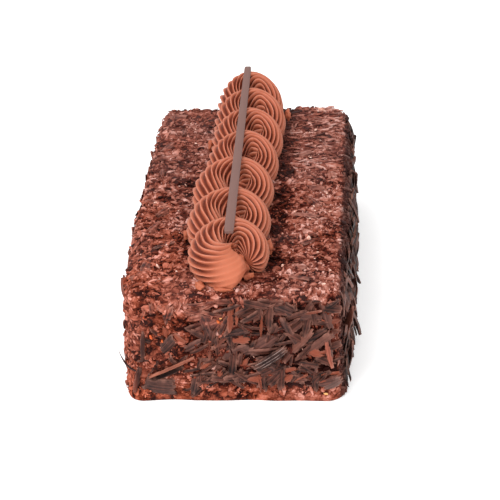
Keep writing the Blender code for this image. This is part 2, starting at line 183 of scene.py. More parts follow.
class Nodes:
    """Adds nodes to one tree and joins them up."""

    def __init__(self, tree):
        self.tree = tree
        tree.nodes.clear()

    def add(self, kind, settings=None, inputs=None, output=None):
        """Adds a node of a kind: its settings are set first, then its sockets take values or wires."""
        node = self.tree.nodes.new(kind)
        for name, value in (settings or {}).items():
            if name == "stops":
                for index, (place, colour) in enumerate(value):
                    ramp = node.color_ramp.elements
                    stop = ramp[index] if index < 2 else ramp.new(place)
                    stop.position = place
                    stop.color = colour
            else:
                setattr(node, name, value)
        for key, value in (inputs or {}).items():
            socket = find(node.inputs, key)
            if isinstance(value, Wire):
                self.tree.links.new(value.socket, socket)
            else:
                socket.default_value = value
        if not node.outputs:
            return node
        found = find(node.outputs, output) if output else next(s for s in node.outputs if s.enabled)
        return Wire(self, found)

    def mix(self, factor, first, second, blend="MIX"):
        """A mix of two colours."""
        return self.add("ShaderNodeMix", {"data_type": "RGBA", "blend_type": blend},
                        {"Factor": factor, "A": first, "B": second})

    def noise(self, place, size, detail=3.0, rough=0.55, stretch=None):
        """Fractal noise from 0 to 1, with lumps of a size in millimetres."""
        if stretch:
            place = self.add("ShaderNodeVectorMath", {"operation": "MULTIPLY"}, {0: place, 1: stretch})
        return self.add("ShaderNodeTexNoise", {}, {
            "Vector": place, "Scale": 1 / (size * MM), "Detail": detail, "Roughness": rough})

    def attribute(self, name):
        return self.add("ShaderNodeAttribute", {"attribute_name": name}, output="Fac")

    def place(self):
        return self.add("ShaderNodeTexCoord", output="Object")

    def axes(self, place):
        """The parts of a place by name, in millimetres."""
        parts = self.add("ShaderNodeSeparateXYZ", {}, {"Vector": place})
        return {axis: parts.other(axis.upper()) / MM for axis in "xyz"}

    def surface(self, colour, roughness, relief=None, relief_depth=0.2, constants=None):
        """A Principled surface with a varying colour, and relief in millimetres where there is any."""
        inputs = {"Base Color": colour, "Roughness": roughness}
        if relief is not None:
            inputs["Normal"] = self.add("ShaderNodeBump", {}, {
                "Height": relief, "Distance": relief_depth * MM, "Strength": 1.0})
        inputs.update(constants or {})
        shader = self.add("ShaderNodeBsdfPrincipled", {}, inputs)
        self.add("ShaderNodeOutputMaterial", {}, {"Surface": shader})


def new_material(name):
    material = bpy.data.materials.new(name)
    material.use_nodes = True
    return material, Nodes(material.node_tree)


def zone(axes, bands):
    """1 inside a region with soft edges and 0 outside it, from bands along x, y or z."""
    inside = 1.0
    for axis, low, high in bands:
        inside = axes[axis].band(low, high) * inside
    return inside


def grated_colour(nodes, place, shade):
    """Colour of grated chocolate at a place, from a shade of 0, dark, to 1, light. The coat is warmer at the
    near left edges and duller far away; it has painted shade over the right side and zones of painted light
    and shade."""
    axes = nodes.axes(place)
    mottle = nodes.noise(place, 8, 3.0, 0.6, (0.55, 1.0, 1.0))
    clumps = nodes.noise(place, 2.6, 2.0, 0.6, (0.7, 1.0, 1.0))
    patches = nodes.noise(place, 26, 2.0)
    shade = shade + (mottle - 0.5) * 1.5 + (clumps - 0.5) * 1.2 + 0.07
    # Zones of painted shade and painted light, with a few plain changes of shade.
    for change, *bands in SHADED_ZONES:
        shade = shade + zone(axes, bands) * change
    shade = shade.clamped()
    colour = nodes.add("ShaderNodeValToRGB", {"stops": [
        (level, srgb(*stop)) for level, stop in GRATED_COLOURS]}, {"Fac": shade})
    near_left = zone(axes, (("x", 10, -48), ("y", 10, -95)))
    warm = (near_left * 0.55 + zone(axes, LOW_FRONT) * 0.5 + patches.band(0.5, 0.7) * 0.3).clamped()
    colour = nodes.mix(warm * 0.45, colour, srgb(226, 116, 74), "MULTIPLY")
    colour = nodes.mix(warm * 0.45 * shade, colour, srgb(214, 112, 68))
    dull = (axes["y"].band(-20, 90) * 0.6 + patches.band(0.55, 0.3) * 0.4).clamped()
    colour = nodes.mix(dull * 0.38, colour, srgb(116, 84, 80))
    # Painted shade over the right side, which faces away from the lamps.
    return nodes.mix(axes["x"].band(48.5, 51.5) * 0.8, colour, srgb(40, 24, 23))


def coat_material():
    """Matted crumb: red-brown over its lumps, with fine orange grains, and painted shade in its pits."""
    material, nodes = new_material("crumb_coat")
    place = nodes.place()
    rise = nodes.attribute("rise")
    fine = nodes.noise(place, 1.1, 4.0, 0.7)
    middle = nodes.noise(place, 4.0, 3.0)
    # The rise of the lumps darkens the pits: painted shade.
    shade = (rise * 0.42 + (fine - 0.5) * 0.9 + (middle - 0.5) * 0.7).clamped()
    colour = grated_colour(nodes, place, shade)
    nodes.surface(colour, 0.75 - fine * 0.2, fine, 0.5, {"Specular IOR Level": GRATED_GLOSS})
    return material


def grid_lines(low, high, step):
    count = round((high - low) / step)
    return [low + (high - low) * index / count for index in range(count + 1)]


def rounded(point):
    """Moves a point of the plain block onto the block with round corners and a round top edge."""
    x, y, z = point
    inner = Vector((
        max(-LOAF_WIDTH / 2 + CORNER_RADIUS, min(LOAF_WIDTH / 2 - CORNER_RADIUS, x)),
        max(-LOAF_LENGTH / 2 + CORNER_RADIUS, min(LOAF_LENGTH / 2 - CORNER_RADIUS, y))))
    away = Vector((x, y)) - inner
    reach = min(away.length, CORNER_RADIUS)
    level = LOAF_HEIGHT - TOP_EDGE_RADIUS
    if reach > CORNER_RADIUS - TOP_EDGE_RADIUS and z > level:
        over = Vector((reach - CORNER_RADIUS + TOP_EDGE_RADIUS, z - level))
        over *= min(1, TOP_EDGE_RADIUS / over.length)
        reach = CORNER_RADIUS - TOP_EDGE_RADIUS + over.x
        z = level + over.y
    if away.length > 0:
        away = away.normalized() * reach
    return Vector((inner.x + away.x, inner.y + away.y, z))


def off_row(point):
    """0 on the strip of the top that the cream covers, and 1 away from it."""
    return max(0, min(1, (abs(point.x - ROW_MIDDLE_X) - ROW_HALF_WIDTH) / ROW_FADE))


def settled(point):
    """Gives the block its flared base, its bowed sides and far end, and a slightly wavy surface."""
    across = point.x / (LOAF_WIDTH / 2)
    along = point.y / (LOAF_LENGTH / 2)
    low = 1 - point.z / LOAF_HEIGHT
    side = (RIGHT_BOW if across > 0 else LEFT_BOW) * (1 - along ** 2) * across
    back = BACK_BOW * (1 - across ** 2) * max(0, along)
    moved = point + Vector((across * BASE_FLARE * low + side, along * BASE_FLARE * low + back, 0))
    place = point / WAVE_LENGTH
    wave = Vector([noise.noise(place + Vector((0, 0, WAVE_OFFSET * axis))) for axis in range(3)])
    wave *= SURFACE_WAVE
    on_top = point.z > LOAF_HEIGHT - TOP_EDGE_RADIUS
    wave.z *= off_row(point) if on_top else min(1, 2 * point.z / LOAF_HEIGHT)
    return moved + wave


def wrapped_block(step):
    """The points and faces of a grid over the five rounded faces, with one flat face below."""
    xs = grid_lines(-LOAF_WIDTH / 2, LOAF_WIDTH / 2, step)
    ys = grid_lines(-LOAF_LENGTH / 2, LOAF_LENGTH / 2, step)
    zs = grid_lines(0, LOAF_HEIGHT, step)
    points = []
    index = {}

    def corner(i, j, k):
        if (i, j, k) not in index:
            index[(i, j, k)] = len(points)
            points.append(settled(rounded((xs[i], ys[j], zs[k]))))
        return index[(i, j, k)]

    def cell(place, first, second):
        """A face of the grid, from its lowest corner and the two axes that it lies along."""
        spots = [list(place) for _ in range(4)]
        for spot, (a, b) in zip(spots, ((0, 0), (1, 0), (1, 1), (0, 1))):
            spot[first] += a
            spot[second] += b
        return [corner(*spot) for spot in spots]

    last_x, last_y, last_z = len(xs) - 1, len(ys) - 1, len(zs) - 1
    faces = [cell((i, j, last_z), 0, 1) for i in range(last_x) for j in range(last_y)]
    for k in range(last_z):
        faces += [cell((i, j, k), 1, 2)[::turn] for j in range(last_y) for i, turn in ((0, -1), (last_x, 1))]
        faces += [cell((i, j, k), 0, 2)[::turn] for i in range(last_x) for j, turn in ((0, 1), (last_y, -1))]
    rim = [(i, 0) for i in range(last_x)] + [(last_x, j) for j in range(last_y)]
    rim += [(i, last_y) for i in range(last_x, 0, -1)] + [(0, j) for j in range(last_y, 0, -1)]
    for i, j in rim:
        points[corner(i, j, 0)].z = 0
    faces.append([corner(i, j, 0) for i, j in rim][::-1])
    return points, faces


def mesh_object(name, points, faces, material=None, smooth=True):
    """An object from points in millimetres."""
    mesh = bpy.data.meshes.new(name)
    mesh.from_pydata([Vector(point) * MM for point in points], [], faces)
    if smooth:
        mesh.shade_smooth()
    if material:
        mesh.materials.append(material)
    item = bpy.data.objects.new(name, mesh)
    bpy.context.scene.collection.objects.link(item)
    return item


def lumps(point):
    """Height of the coat's lumps at a point, as the sum of a few sizes of noise."""
    return sum(depth * noise.noise(Vector((point.x, point.y, point.z + 7 * size)) / size)
               for size, depth in COAT_LUMPS)


def store(item, **values):
    """Keeps a number for each point of a piece, under a name that its material reads."""
    for name, numbers in values.items():
        item.data.attributes.new(name, "FLOAT", "POINT").data.foreach_set("value", numbers)


def stands_for(item, node):
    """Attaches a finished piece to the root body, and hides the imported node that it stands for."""
    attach(item, "root")
    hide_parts(node)


def crumb_coat():
    points, faces = wrapped_block(COAT_GRID)
    coat = mesh_object("crumb_coat", points, faces, coat_material())
    normals = [vertex.normal.copy() for vertex in coat.data.vertices]
    rise, bare, far_right = [], [], []
    for point, normal, vertex in zip(points, normals, coat.data.vertices):
        on_top = point.z > LOAF_HEIGHT - TOP_BAND
        clear = off_row(point) if on_top else 1
        covered = on_top and abs(point.x - ROW_MIDDLE_X) < COVERED_HALF_WIDTH and point.y > COVERED_FROM_Y
        bare.append(0 if covered or point.z < CLEAR_OF_FLOOR else 1)
        level = point.z > LOAF_HEIGHT - LEVEL_BAND
        within = all(low < at < high for low, at, high in zip(LONG_STRIPS_FROM, point, LONG_STRIPS_TO))
        far_right.append(1 if level and within else 0)
        height = lumps(point)
        # The rise also darkens the coat's pits in its material, as painted shade.
        rise.append(max(0, min(1, 0.5 + height)))
        kept = LUMPS_UNDER_CREAM + (1 - LUMPS_UNDER_CREAM) * clear
        shift = height * kept - SINK_UNDER_CREAM * (1 - clear)
        vertex.co = (point + normal * shift * min(1, point.z / FOOT_HEIGHT)) * MM
    store(coat, rise=rise, bare=bare, far_right=far_right)
    return coat


coat = crumb_coat()
stands_for(coat, "cake")


# Grated chocolate. The real coat is thousands of crumbs, chips and thin strips that a grater leaves,
# pressed on by hand. A few shapes of each kind are strewn over the loaf by Geometry Nodes, each with
# its own size, turn and shade, and are then joined into one mesh for the kind.

CRUMB_SEED = 5
LIFT = 0.5
# For each kind: its shapes, where it lies, how many there are on a square metre, its smallest and largest
# size, how far it turns as a share of half a turn, how far it tilts in radians, and its tones.
GRATED_KINDS = (
    ("fine_grains", "grain", "bare", 400e3, (0.7, 1.7), 1.0, 0.9, (0.28, 0.76)),
    ("grated_crumbs", "crumb", "bare", 150e3, (1.0, 2.6), 1.0, 0.6, (0.22, 0.74)),
    ("grated_strips", "strip", "bare", 110e3, (0.5, 1.5), 1.0, 0.4, (-0.05, 0.8)),
    ("grated_chips", "chip", "bare", 60e3, (0.6, 1.5), 1.0, 0.4, (-0.05, 0.65)),
    ("far_strips", "long", "far_right", 260e3, (0.7, 2.0), 0.08, 0.25, (-0.15, 0.75)),
)


def ball(subdivisions, radius):
    """The points and triangles of a ball."""
    shape = bmesh.new()
    bmesh.ops.create_icosphere(shape, subdivisions=subdivisions, radius=radius)
    points = [vertex.co.copy() for vertex in shape.verts]
    faces = [[vertex.index for vertex in face.verts] for face in shape.faces]
    shape.free()
    return points, faces


def stretched(point, stretch):
    return Vector([a * b for a, b in zip(point, stretch)])


def crumb_shape(draw, stretch):
    """A lumpy grain with the axes stretched, about one millimetre across."""
    points, faces = ball(1, 0.5)
    return [stretched(point * draw.uniform(0.6, 1.25), stretch) for point in points], faces


def grain_shape(draw):
    """A sharp grain of eight faces, about one millimetre across."""
    points = [Vector(axis) * draw.uniform(0.35, 0.65) for axis in
              ((1, 0, 0), (-1, 0, 0), (0, 1, 0), (0, -1, 0), (0, 0, 0.8), (0, 0, -0.8))]
    points = [point + Vector([draw.uniform(-0.14, 0.14) for _ in range(3)]) for point in points]
    faces = [(0, 2, 4), (2, 1, 4), (1, 3, 4), (3, 0, 4), (2, 0, 5), (1, 2, 5), (3, 1, 5), (0, 3, 5)]
    return points, faces


def tube_faces(rings, count):
    """The faces of a tube whose rings have the same number of points, with both ends closed."""
    faces = [tuple(range(count))[::-1], tuple(range((rings - 1) * count, rings * count))]
    for a in range(0, (rings - 1) * count, count):
        for step in range(count):
            after = (step + 1) % count
            faces.append((a + step, a + after, a + after + count, a + step + count))
    return faces


def strip_shape(draw, length, width, thickness, bend):
    """A thin bent strip along X, of four cross-sections, with narrow broken ends."""
    points = []
    for share in (-0.5, -0.17, 0.17, 0.5):
        half = width / 2 * (draw.uniform(0.25, 0.6) if abs(share) == 0.5 else draw.uniform(0.8, 1.2))
        middle = Vector((length * share, draw.uniform(-0.1, 0.1) * width, bend * (0.25 - share ** 2) * 4))
        skew = draw.uniform(-0.4, 0.4) * thickness
        for side, level in ((-1, -1), (1, -1), (1, 1), (-1, 1)):
            points.append(middle + Vector((0, side * half, level * thickness / 2 + side * skew)))
    return points, tube_faces(4, 4)


def new_tree(name, inputs):
    """A Geometry Nodes tree with named inputs, given by kind. Returns it, its nodes and its inputs."""
    tree = bpy.data.node_groups.new(name, "GeometryNodeTree")
    for kind, labels in inputs.items():
        for label in labels:
            tree.interface.new_socket(label, in_out="INPUT", socket_type="NodeSocket" + kind)
    tree.interface.new_socket("Geometry", in_out="OUTPUT", socket_type="NodeSocketGeometry")
    nodes = Nodes(tree)
    return tree, nodes, nodes.add("NodeGroupInput").other


def run_tree(name, mesh, tree, values):
    """Runs a tree on a mesh with values for its inputs, and returns the result as a plain mesh object."""
    piece = bpy.data.objects.new(name, mesh)
    bpy.context.scene.collection.objects.link(piece)
    step = piece.modifiers.new(name, "NODES")
    step.node_group = tree
    for socket in tree.interface.items_tree:
        if socket.in_out == "INPUT" and socket.name in values:
            step[socket.identifier] = values[socket.name]
    mesh = bpy.data.meshes.new_from_object(piece.evaluated_get(bpy.context.evaluated_depsgraph_get()))
    piece.modifiers.remove(step)
    piece.data = mesh
    mesh.name = name
    return piece


def strew_tree():
    """Strews the shapes of a collection over a surface. Sizes are in metres and turns in radians."""
    tree, nodes, value = new_tree("strew", {
        "Geometry": ("Geometry",), "Collection": ("Shapes",), "Int": ("Count", "Seed"), "String": ("Where",),
        "Float": ("Density", "Smallest", "Largest", "Turn Spread", "Tilt", "Lift"),
        "Material": ("Surface",)})

    def chance(low, high, extra, kind="FLOAT"):
        return nodes.add("FunctionNodeRandomValue", {"data_type": kind}, {
            "Min": low, "Max": high, "Seed": value("Seed") + extra})

    share = nodes.add("GeometryNodeInputNamedAttribute", {"data_type": "FLOAT"}, {"Name": value("Where")})
    points = nodes.add("GeometryNodeDistributePointsOnFaces", {"distribute_method": "RANDOM"}, {
        "Mesh": value("Geometry"), "Density": value("Density") * share.band(0.3, 0.9),
        "Seed": value("Seed")})
    facing = nodes.add("FunctionNodeAlignRotationToVector", {"axis": "Z"}, {
        "Vector": points.other("Normal")})
    turn = nodes.add("ShaderNodeCombineXYZ", {}, {"Z": chance(-1.0, 1.0, 1) * value("Turn Spread")})
    lean = nodes.add("ShaderNodeCombineXYZ", {}, {
        "X": chance(-1.0, 1.0, 2) * value("Tilt"), "Y": chance(-1.0, 1.0, 3) * value("Tilt")})
    for angles in (turn, lean):
        by = nodes.add("FunctionNodeEulerToRotation", {}, {"Euler": angles})
        facing = nodes.add("FunctionNodeRotateRotation", {"rotation_space": "LOCAL"}, {
            "Rotation": facing, "Rotate By": by})
    shapes = nodes.add("GeometryNodeCollectionInfo", {"transform_space": "ORIGINAL"}, {
        "Collection": value("Shapes"), "Separate Children": True, "Reset Children": True})
    low, high = value("Smallest"), value("Largest")
    strewn = nodes.add("GeometryNodeInstanceOnPoints", {}, {
        "Points": points, "Instance": shapes, "Pick Instance": True,
        "Instance Index": chance(0, value("Count") - 1, 5, "INT"),
        "Rotation": facing, "Scale": low + (high - low) * chance(0.0, 1.0, 4) ** 2})
    rise = nodes.add("ShaderNodeCombineXYZ", {}, {"Z": value("Lift") * chance(-1.0, 1.0, 6)})
    lifted = nodes.add("GeometryNodeTranslateInstances", {}, {"Instances": strewn, "Translation": rise})
    toned = nodes.add("GeometryNodeStoreNamedAttribute", {"data_type": "FLOAT", "domain": "INSTANCE"}, {
        "Geometry": lifted, "Name": "tone", "Value": chance(0.0, 1.0, 7)})
    joined = nodes.add("GeometryNodeRealizeInstances", {}, {"Geometry": toned})
    painted = nodes.add("GeometryNodeSetMaterial", {}, {"Geometry": joined, "Material": value("Surface")})
    nodes.add("NodeGroupOutput", {}, {"Geometry": painted})
    return tree


def rest_on_floor(mesh):
    """Presses flat whatever would go below the floor."""
    for vertex in mesh.vertices:
        vertex.co.z = max(vertex.co.z, 0)


def strew(name, surface, shapes, tree, values):
    """Runs the strewing tree over a surface, and removes the single shapes when it is done."""
    group = bpy.data.collections.new(name + "_shapes")
    bpy.context.scene.collection.children.link(group)
    for index, (points, faces) in enumerate(shapes):
        item = mesh_object(f"{name}_{index:02d}", points, faces, smooth=False)
        bpy.context.scene.collection.objects.unlink(item)
        group.objects.link(item)
    piece = run_tree(name, surface.data.copy(), tree, dict(values, Shapes=group, Count=len(shapes)))
    rest_on_floor(piece.data)
    for item in list(group.objects):
        bpy.data.objects.remove(item, do_unlink=True)
    bpy.data.collections.remove(group)
    return piece


def grated_material(name, dark, light):
    """Chips of one kind, whose shades run from dark to light over the coat's colours."""
    material, nodes = new_material(name)
    place = nodes.place()
    tone = nodes.attribute("tone")
    grain = nodes.noise(place, 0.9, 2.0)
    shade = (dark + tone * (light - dark) + (grain - 0.5) * 0.25).clamped()
    colour = grated_colour(nodes, place, shade)
    nodes.surface(colour, 0.6, grain, 0.15, {"Specular IOR Level": GRATED_GLOSS})
    return material


draw = random.Random(CRUMB_SEED)
strewing = strew_tree()
grated_shapes = {
    "crumb": [crumb_shape(draw, (1.3, 1.0, 0.7)) for _ in range(8)],
    "strip": [strip_shape(draw, 4.2, 0.9, 0.32, draw.uniform(0, 0.7)) for _ in range(8)],
    "chip": [strip_shape(draw, 3.2, 2.2, 0.4, draw.uniform(0, 0.4)) for _ in range(8)],
    "grain": [grain_shape(draw) for _ in range(10)],
    "long": [strip_shape(draw, 6.5, 0.8, 0.3, draw.uniform(0, 0.12)) for _ in range(8)],
}
for name, kind, where, density, (smallest, largest), turn, tilt, tones in GRATED_KINDS:
    chips = strew(name, coat, grated_shapes[kind], strewing, {
        "Where": where, "Density": density, "Seed": len(name), "Smallest": smallest, "Largest": largest,
        "Turn Spread": turn * math.pi, "Tilt": tilt, "Lift": LIFT * MM,
        "Surface": grated_material(name, *tones)})
    stands_for(chips, "cake")


# Broad shavings. The real ones are curls and splinters planed off a bar of dark chocolate, the largest
# on the near face and the right side, where they stand on end. They are bent slabs with ridges along
# them and ragged edges, laid on the loaf one by one.

FRONT_SHARDS = (
    (37.5, 29.4, 26.5, 4.6, 45),
    (31.0, 31.5, 22.0, 4.0, 49),
    (18.5, 23.5, 18.5, 5.0, 33),
    (15.5, 32.0, 21.0, 8.0, 38),
    (2.6, 26.5, 15.0, 7.5, 31),
    (20.5, 17.0, 9.5, 5.5, -55),
    (-36.0, 8.5, 15.0, 10.0, -8),
    (-30.5, 31.0, 10.5, 6.5, 52),
    (-19.0, 30.5, 11.0, 4.5, 38),
    (-11.0, 41.5, 12.0, 6.5, -72),
    (-0.5, 37.5, 16.5, 4.2, 14),
    (26.0, 50.0, 12.0, 5.5, -24),
    (35.0, 46.5, 15.0, 4.5, -8),
    (44.0, 45.5, 11.5, 5.0, -75),
    (27.5, 38.5, 20.0, 3.8, -66),
    (45.0, 27.0, 14.5, 3.6, -86),
    (44.5, 11.5, 10.0, 5.0, 18),
    (37.5, 14.5, 13.5, 3.4, 74),
    (28.5, 14.0, 12.0, 6.0, -48),
    (10.0, 14.5, 14.0, 4.0, 9),
    (-10.0, 20.0, 13.0, 5.0, -38),
)
NEAR_FACE = Vector((0, -1, 0))
SHARD_THICKNESS = 1.3
SHARD_SEED = 31
FRONT_TIP = 6
FRONT_LIFTS = (6, 15)
TIP_SHARE = 0.6
TOP_TIPS = (2, 6)
ROW_CLEARANCE = 1.5
CELL_SPREAD = 0.3
SIDE_MARGIN = 7.0
TOP_MARGIN = 6.0
EDGE_STRIP = 8.0
EDGE_LINE = 3.0
# For each upright face, or part of one: its outward direction, the direction along it, its length, its
# distance, its middle and its lowest place.
UPRIGHT_SIDES = {
    "right": (Vector((1, 0, 0)), Vector((0, 1, 0)), LOAF_LENGTH, LOAF_WIDTH / 2, 0, 0),
    "left": (Vector((-1, 0, 0)), Vector((0, -1, 0)), LOAF_LENGTH, LOAF_WIDTH / 2, 0, 0),
    "back": (Vector((0, 1, 0)), Vector((-1, 0, 0)), LOAF_WIDTH, LOAF_LENGTH / 2, 0, 0),
    "front": (NEAR_FACE, Vector((1, 0, 0)), 55.0, LOAF_LENGTH / 2, -20.0, 0),
    "front dark": (NEAR_FACE, Vector((1, 0, 0)), 80.0, LOAF_LENGTH / 2, 15.0, 13),
    "front light": (NEAR_FACE, Vector((1, 0, 0)), 50.0, LOAF_LENGTH / 2, -27.0, 0),
}
# For each of them: how many along it and up it, and the range of lengths, of widths, of turns (their
# middle and spread) and of lifts off the face.
SIDE_SHARDS = {
    "right": (11, 3, (11, 19), (3.8, 7.0), (90, 26), (14, 34)),
    "left": (9, 2, (9, 17), (3.8, 7.0), (30, 60), (6, 18)),
    "back": (5, 2, (9, 17), (3.8, 7.0), (40, 60), (6, 18)),
    "front": (3, 2, (7, 11), (3.2, 4.6), (0, 80), (6, 14)),
}
TOP_SHARDS = (12, (8, 14), (2.8, 4.6), (5, 12))
DUSTED_TOP = (("z", 55.5, 57.5), ("x", 51, 47), ("y", -100, -96))
DUSTED_FACE = (("z", 38, 45), ("x", 2, -8), ("y", -97, -99))
NEAR_CORNER = (("y", -30, -90), ("z", 12, 40))
FAR_OFF = 40.0
LIFTED_SHARE = 0.55
SUNK_SHARE = 0.55
SHARD_STEP = 0.8
RIDGE_DEPTH = 0.22
ENDS_FROM = 0.19
RAGGED_END = 1.1
RAGGED_SIDE = 0.22
RIM_THINNING = 0.45
SHARP_FROM = math.radians(50)
UNDERSIDE = 0.25


class Shavings:
    """Gathers bent slabs into one mesh with a UV map in millimetres and a tone for each slab."""

    def __init__(self, surface):
        self.surface = surface
        self.points = []
        self.faces = []
        self.uvs = []
        self.tones = []
        self.rim_highlights = []

    def slab(self, place, along, out, length, width, bend, draw, fray):
        """A bent slab with its own random ends, as the solid has them, then fine ridges and a ragged
        rim from a second random source."""
        across = out.cross(along).normalized()
        ends = (draw.uniform(0.5, 1), draw.uniform(0.3, 1))
        slants = (draw.uniform(-0.3, 0.3) * width, draw.uniform(-0.3, 0.3) * width)
        rows = max(5, round(length / SHARD_STEP))
        columns = max(4, round(width / SHARD_STEP))
        phase = fray.uniform(0, 6)
        ridges = fray.uniform(2.2, 4.5)
        arch = fray.uniform(-0.06, 0.14) * width
        tone = fray.random()
        jag = [fray.uniform(-RAGGED_END, RAGGED_END) for _ in range(2 * (columns + 1))]
        nick = [fray.uniform(-RAGGED_SIDE, RAGGED_SIDE) for _ in range(2 * (rows + 1))]
        base = len(self.points)
        for i in range(rows + 1):
            share = i / rows - 0.5
            far = max(0, abs(share) - ENDS_FROM) / (0.5 - ENDS_FROM)
            end = 0 if share < 0 else 1
            half = width / 2 * (1 + (ends[end] - 1) * far)
            middle = place + along * length * share + out * bend * (1 - 4 * share ** 2)
            for j in range(columns + 1):
                side = 2 * j / columns - 1
                rim = nick[2 * i + (side > 0)] if abs(side) == 1 else 0
                ahead = slants[end] * far * side + jag[2 * j + end] * far ** 3
                spot = middle + across * (half * side + rim) + along * ahead + out * arch * (1 - side ** 2)
                ridge = RIDGE_DEPTH * math.sin(side * ridges * 3 + phase + share * 2) * (1 - far * 0.5)
                thin = 1 - RIM_THINNING * abs(side) ** 4
                self.points.append(spot + out * (SHARD_THICKNESS * thin + ridge))
                self.points.append(spot + out * SHARD_THICKNESS * UNDERSIDE / thin)
                self.uvs += [(share * length, side * half)] * 2
                self.tones += [tone] * 2
                # The weight of the painted highlight on each slab's raised edges.
                self.rim_highlights += [max(abs(side), abs(2 * share)) ** 5] * 2

        def corners(*spots):
            return [base + 2 * (i * (columns + 1) + j) + level for i, j, level in spots]

        for i in range(rows):
            for j in range(columns):
                self.faces.append(corners((i, j, 0), (i + 1, j, 0), (i + 1, j + 1, 0), (i, j + 1, 0)))
                self.faces.append(corners((i, j, 1), (i, j + 1, 1), (i + 1, j + 1, 1), (i + 1, j, 1)))
            for j, turn in ((0, 1), (columns, -1)):
                self.faces.append(corners((i, j, 0), (i, j, 1), (i + 1, j, 1), (i + 1, j, 0))[::turn])
        for j in range(columns):
            for i, turn in ((0, -1), (rows, 1)):
                self.faces.append(corners((i, j, 0), (i, j, 1), (i, j + 1, 1), (i, j + 1, 0))[::turn])

    def lay(self, start, out, run, turn, lift, length, width, bend, draw, fray):
        """Lays a slab on the loaf where a line along -out meets it."""
        hit, _, _, _ = self.surface.ray_cast(start * MM, -out)
        if hit is None:
            return
        along = Matrix.Rotation(turn, 3, out) @ run
        tip = Matrix.Rotation(lift[0], 3, out.cross(along))
        roll = Matrix.Rotation(lift[1], 3, along)
        along, up = tip @ roll @ along, tip @ roll @ out
        rise = LIFTED_SHARE * length / 2 * abs(math.sin(lift[0]))
        place = hit / MM + out * (rise - SUNK_SHARE * SHARD_THICKNESS)
        self.slab(place, along, up, length, width, bend, draw, fray)

    def finish(self, name, material):
        """Makes the object, with its normals outward, its UV map and its tones."""
        item = mesh_object(name, self.points, self.faces, material)
        rest_on_floor(item.data)
        layer = item.data.uv_layers.new(name="along")
        for loop in item.data.loops:
            layer.data[loop.index].uv = self.uvs[loop.vertex_index]
        store(item, tone=self.tones, rim=self.rim_highlights)
        item.data.set_sharp_from_angle(angle=SHARP_FROM)
        return item


def shaving_material(name, dark, light, warm, roughness=0.42, gloss=0.3, near_light=0.0, highlight_stripes=0.0):
    """Dark bar chocolate with a satin face, planed in fine lines along each shaving, with a painted
    highlight on its raised edges and painted highlights in stripes along some. Some shavings are redder than
    others."""
    material, nodes = new_material(name)
    place = nodes.place()
    along = nodes.add("ShaderNodeTexCoord", output="UV")
    lines = nodes.noise(along, 1, 3.0, 0.6, (0.05 * MM, 1.0 * MM, 0))
    tone = nodes.attribute("tone")
    clouds = nodes.noise(place, 4, 3.0)
    shade = tone * 0.5 + (lines - 0.5) * 2.6 + (clouds - 0.5) * 1.2 + 0.2
    colour = nodes.mix(shade.clamped(), dark, light)
    colour = nodes.mix(tone.band(0.86, 0.94) * 0.7, colour, warm)
    axes = nodes.axes(place)
    dusted = zone(axes, DUSTED_TOP).most(zone(axes, DUSTED_FACE))
    colour = nodes.mix(dusted * 0.8, colour, grated_colour(nodes, place, shade * 0.45 + 0.1))
    colour = nodes.mix(axes["x"].band(-45, -48.5) * 0.75, colour, srgb(122, 60, 44))
    if near_light:
        corner = zone(axes, NEAR_CORNER)
        colour = nodes.mix(corner * clouds.band(0.35, 0.6) * near_light, colour, srgb(126, 88, 80))
    # Painted highlights in stripes along the ridges of the curl.
    if highlight_stripes:
        across = nodes.add("ShaderNodeSeparateXYZ", {}, {"Vector": along}).other("Y") + clouds * 0.6
        wave = (across * highlight_stripes).sin().band(0.82, 1.0)
        colour = nodes.mix(wave * clouds.band(0.3, 0.6) * 0.8, colour, srgb(176, 150, 142))
    # Painted highlight on the raised edges.
    rim = nodes.attribute("rim")
    rim_highlight = nodes.mix(0.45, light, srgb(190, 134, 116))
    colour = nodes.mix(rim * clouds.band(0.3, 0.7) * 0.75, colour, rim_highlight)
    nodes.surface(colour, roughness + clouds * 0.2, lines, 0.45, {"Specular IOR Level": gloss})
    return material


def tipped(draw, angles):
    """An angle to either side, in radians, from a range in degrees."""
    return math.radians(draw.uniform(*angles) * draw.choice((-1, 1)))


def lay_front(shavings, draw, fray):
    for x, z, length, width, turn in FRONT_SHARDS:
        lift = (math.radians(draw.uniform(-FRONT_TIP, FRONT_TIP)), tipped(draw, FRONT_LIFTS))
        start = Vector((x, -LOAF_LENGTH / 2 - FAR_OFF, z))
        shavings.lay(start, NEAR_FACE, Vector((1, 0, 0)), math.radians(turn), lift, length, width,
                     draw.uniform(0, 0.8), draw, fray)


def lay_sides(shavings, table, draw, fray):
    """One shaving in each cell of a loose grid on each upright face that the table names."""
    for side, (along_count, up_count, lengths, widths, turns, lifts) in table.items():
        out, run, span, reach, middle, lowest = UPRIGHT_SIDES[side]
        room = span - 2 * SIDE_MARGIN
        for i in range(along_count):
            for j in range(up_count):
                length = draw.uniform(*lengths)
                turn = math.radians(turns[0] + draw.uniform(-1, 1) * turns[1])
                s = middle + ((i + 0.5 + draw.uniform(-CELL_SPREAD, CELL_SPREAD)) / along_count - 0.5) * room
                half_rise = length / 2 * abs(math.sin(turn)) + EDGE_LINE
                z = (j + 0.5 + draw.uniform(-CELL_SPREAD, CELL_SPREAD)) / up_count * LOAF_HEIGHT
                z = max(half_rise, lowest, min(LOAF_HEIGHT - half_rise - 1, z))
                start = out * (reach + FAR_OFF) + run * s + Vector((0, 0, z))
                lift = (tipped(draw, lifts) * TIP_SHARE, tipped(draw, lifts))
                shavings.lay(start, out, run, turn, lift, length, draw.uniform(*widths),
                             draw.uniform(0, 1), draw, fray)


